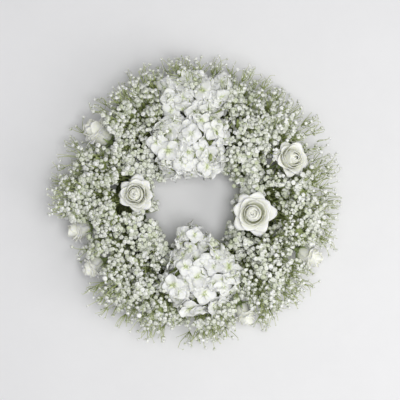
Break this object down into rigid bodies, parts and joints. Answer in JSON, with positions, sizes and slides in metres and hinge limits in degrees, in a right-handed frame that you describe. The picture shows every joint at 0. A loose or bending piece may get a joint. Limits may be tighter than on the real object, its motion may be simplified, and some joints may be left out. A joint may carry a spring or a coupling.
{
  "type": "flower crown",
  "caption": "Full round flower crown lying flat: cream roses, white hydrangea heads and baby's breath on stems in a padded ring over a wire frame, open in the middle.",
  "frame": {"origin": "middle of the crown's footprint, at the underside of the backing ring", "axes": "+Z along the crown's axis, from the backing ring towards the flowers; +Y towards the pair of hydrangea heads; +X towards the widest rose"},
  "size_m": [0.4998, 0.4998, 0.12],
  "materials": {
    "moss": "dry fibre",
    "backing": "matte",
    "hoop_wire": "satin",
    "binding_wire": "green lacquer",
    "stem_green": "matte",
    "calyx_green": "matte",
    "rose_petal": "soft satin",
    "hydrangea_petal": "soft matte",
    "babys_breath": "soft matte"
  },
  "bodies": {
    "crown": {"babys_breath_bunch_01": "babys_breath", "babys_breath_bunch_02": "babys_breath", "babys_breath_bunch_03": "babys_breath", "babys_breath_bunch_04": "babys_breath", "babys_breath_bunch_05": "babys_breath", "babys_breath_bunch_06": "babys_breath", "babys_breath_bunch_07": "babys_breath", "babys_breath_bunch_08": "babys_breath", "babys_breath_bunch_09": "babys_breath", "babys_breath_bunch_10": "babys_breath", "babys_breath_bunch_11": "babys_breath", "babys_breath_bunch_12": "babys_breath", "babys_breath_bunch_13": "babys_breath", "babys_breath_bunch_14": "babys_breath", "babys_breath_bunch_15": "babys_breath", "babys_breath_bunch_16": "babys_breath", "babys_breath_bunch_17": "babys_breath", "babys_breath_bunch_18": "babys_breath", "backing_ring": "backing", "binding_wire": "binding_wire", "core_padding": "moss", "frame_strap_1": "hoop_wire", "frame_strap_2": "hoop_wire", "frame_strap_3": "hoop_wire", "frame_strap_4": "hoop_wire", "frame_strap_5": "hoop_wire", "hydrangea_bottom_head": "hydrangea_petal", "hydrangea_bottom_stem": "stem_green", "hydrangea_inner_head": "hydrangea_petal", "hydrangea_inner_stem": "stem_green", "hydrangea_top_back_head": "hydrangea_petal", "hydrangea_top_back_stem": "stem_green", "hydrangea_top_front_head": "hydrangea_petal", "hydrangea_top_front_stem": "stem_green", "inner_hoop": "hoop_wire", "outer_hoop": "hoop_wire", "rose_bottom_stem": "stem_green", "rose_far_left_stem": "stem_green", "rose_left_stem": "stem_green", "rose_lower_left_stem": "stem_green", "rose_lower_right_stem": "stem_green", "rose_right_stem": "stem_green", "rose_upper_left_stem": "stem_green", "rose_upper_right_stem": "stem_green"},
    "rose_bottom": {"rose_bottom_bloom": "rose_petal", "rose_bottom_calyx": "calyx_green"},
    "rose_far_left": {"rose_far_left_bloom": "rose_petal", "rose_far_left_calyx": "calyx_green"},
    "rose_left": {"rose_left_bloom": "rose_petal", "rose_left_calyx": "calyx_green"},
    "rose_lower_left": {"rose_lower_left_bloom": "rose_petal", "rose_lower_left_calyx": "calyx_green"},
    "rose_lower_right": {"rose_lower_right_bloom": "rose_petal", "rose_lower_right_calyx": "calyx_green"},
    "rose_right": {"rose_right_bloom": "rose_petal", "rose_right_calyx": "calyx_green"},
    "rose_upper_left": {"rose_upper_left_bloom": "rose_petal", "rose_upper_left_calyx": "calyx_green"},
    "rose_upper_right": {"rose_upper_right_bloom": "rose_petal", "rose_upper_right_calyx": "calyx_green"}
  },
  "joints": [
    {"name": "rose_bottom_nod", "type": "hinge", "parent": "crown", "child": "rose_bottom", "pos_m": [0.07315, -0.16665, 0.04], "axis": [0.9157, 0.4019, 0], "range_deg": [-12, 12]},
    {"name": "rose_far_left_nod", "type": "hinge", "parent": "crown", "child": "rose_far_left", "pos_m": [-0.17114, -0.04109, 0.044], "axis": [0.2334, -0.9724, 0], "range_deg": [-12, 12]},
    {"name": "rose_left_nod", "type": "hinge", "parent": "crown", "child": "rose_left", "pos_m": [-0.09421, 0.01224, 0.06], "axis": [-0.1288, -0.9917, 0], "range_deg": [-12, 12]},
    {"name": "rose_lower_left_nod", "type": "hinge", "parent": "crown", "child": "rose_lower_left", "pos_m": [-0.15097, -0.09618, 0.04], "axis": [0.5373, -0.8434, 0], "range_deg": [-12, 12]},
    {"name": "rose_lower_right_nod", "type": "hinge", "parent": "crown", "child": "rose_lower_right", "pos_m": [0.1683, -0.0792, 0.043], "axis": [0.4258, 0.9048, 0], "range_deg": [-12, 12]},
    {"name": "rose_right_nod", "type": "hinge", "parent": "crown", "child": "rose_right", "pos_m": [0.09806, -0.0196, 0.063], "axis": [0.1959, 0.9806, 0], "range_deg": [-12, 12]},
    {"name": "rose_upper_left_nod", "type": "hinge", "parent": "crown", "child": "rose_upper_left", "pos_m": [-0.13956, 0.09881, 0.0535], "axis": [-0.5779, -0.8161, 0], "range_deg": [-12, 12]},
    {"name": "rose_upper_right_nod", "type": "hinge", "parent": "crown", "child": "rose_upper_right", "pos_m": [0.1473, 0.06744, 0.0555], "axis": [-0.4163, 0.9092, 0], "range_deg": [-12, 12]}
  ]
}
